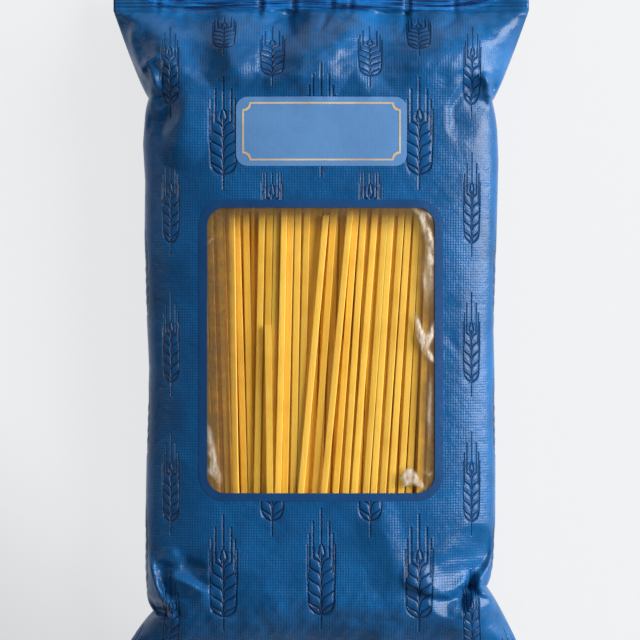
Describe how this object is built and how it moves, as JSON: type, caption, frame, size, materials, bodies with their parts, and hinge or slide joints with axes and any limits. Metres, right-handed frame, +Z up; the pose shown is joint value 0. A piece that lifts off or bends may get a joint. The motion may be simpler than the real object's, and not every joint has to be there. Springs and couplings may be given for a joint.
{
  "type": "pasta packet",
  "caption": "Packet of long flat pasta lying on its back: a printed film bag crimped at each end, with a clear window over the strands and a bare label plate above it.",
  "frame": {"origin": "on the floor, under the middle of the packet's bounding box", "axes": "+Z up, out of the front with the window; +Y along the packet, towards the top seal next to the label; +X across the front, to the right as it is read"},
  "size_m": [0.196, 0.338, 0.0469],
  "materials": {
    "printed_film": "satin",
    "dry_pasta": "matte",
    "clear_film": "gloss",
    "band_print": "satin",
    "label_print": "satin",
    "rule_print": "satin"
  },
  "bodies": {
    "root": {"bag": "printed_film", "pasta": "dry_pasta", "window_film": "clear_film", "window_band": "band_print", "label": "label_print", "label_rule": "rule_print"}
  },
  "joints": []
}
